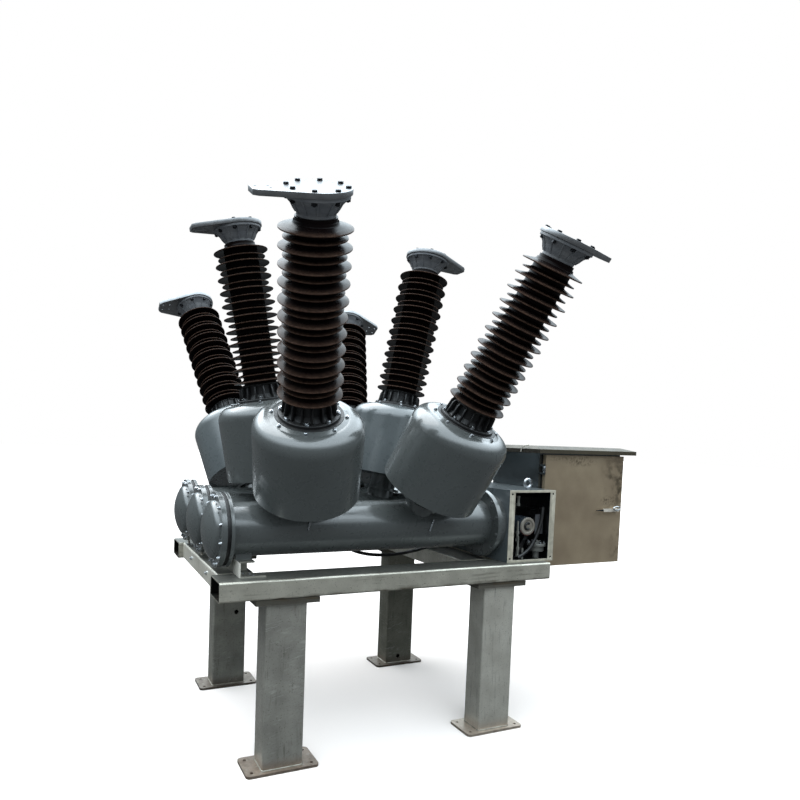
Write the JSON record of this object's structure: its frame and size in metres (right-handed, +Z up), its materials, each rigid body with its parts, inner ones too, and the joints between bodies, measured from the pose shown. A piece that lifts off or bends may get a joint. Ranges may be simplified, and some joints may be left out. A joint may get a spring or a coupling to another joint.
{
  "type": "three-phase dead-tank gas insulated breaker",
  "caption": "Gas insulated breaker: parallel horizontal tanks with leaning porcelain bushings, a mechanism box and a control cabinet with a hinged door, on a galvanised frame.",
  "frame": {"origin": "middle of the model's ground rectangle, on the underside of the base plates", "axes": "+Z up, X along the tanks towards the control cabinet, Y across the phases"},
  "size_m": [2.886, 2.7332, 2.8958],
  "materials": {
    "galvanised_steel": "hot-dip galvanised, spangled",
    "tank_paint": "glossy blue-grey enamel",
    "brown_glaze": "glazed porcelain",
    "dark_casting": "dark painted casting",
    "terminal_aluminium": "machined",
    "box_paint": "dark blue-grey enamel",
    "black_paint": "black enamel",
    "grey_casting": "grey casting",
    "stainless_sheet": "brushed stainless sheet, stained",
    "bright_metal": "bright zinc plating",
    "black_rubber": "matt black jacket",
    "black_plastic": "moulded"
  },
  "bodies": {
    "base": {"box_rear_cover": "box_paint", "cabinet_body": "stainless_sheet", "cabinet_mount": "stainless_sheet", "cabinet_roof": "stainless_sheet", "cable_glands": "black_plastic", "carrier_plate": "black_paint", "cast_valve": "grey_casting", "charging_motor": "black_paint", "control_cable": "black_rubber", "cross_members": "galvanised_steel", "drive_arm": "black_paint", "front_base_castings": "dark_casting", "front_beam": "galvanised_steel", "front_left_housing": "tank_paint", "front_left_leg": "galvanised_steel", "front_porcelains": "brown_glaze", "front_right_housing": "tank_paint", "front_right_leg": "galvanised_steel", "front_tank": "tank_paint", "front_tank_cover": "tank_paint", "front_terminal_plates": "terminal_aluminium", "front_top_castings": "dark_casting", "lifting_eyes": "bright_metal", "mechanism_box": "box_paint", "middle_base_castings": "dark_casting", "middle_left_housing": "tank_paint", "middle_porcelains": "brown_glaze", "middle_right_housing": "tank_paint", "middle_tank": "tank_paint", "middle_tank_cover": "tank_paint", "middle_terminal_plates": "terminal_aluminium", "middle_top_castings": "dark_casting", "rear_base_castings": "dark_casting", "rear_beam": "galvanised_steel", "rear_left_housing": "tank_paint", "rear_left_leg": "galvanised_steel", "rear_porcelains": "brown_glaze", "rear_right_housing": "tank_paint", "rear_right_leg": "galvanised_steel", "rear_tank": "tank_paint", "rear_tank_cover": "tank_paint", "rear_terminal_plates": "terminal_aluminium", "rear_top_castings": "dark_casting", "tank_saddle": "galvanised_steel"},
    "door": {"cabinet_door": "stainless_sheet"},
    "handle": {"door_handle": "bright_metal"}
  },
  "joints": [
    {"name": "door_hinge", "type": "hinge", "parent": "base", "child": "door", "pos_m": [0.687, -0.483, 1.285], "axis": [0, 0, -1], "range_deg": [0, 90]},
    {"name": "handle_turn", "type": "hinge", "parent": "door", "child": "handle", "pos_m": [1.303, -0.49, 1.271], "axis": [0, -1, 0], "range_deg": [0, 90]}
  ]
}
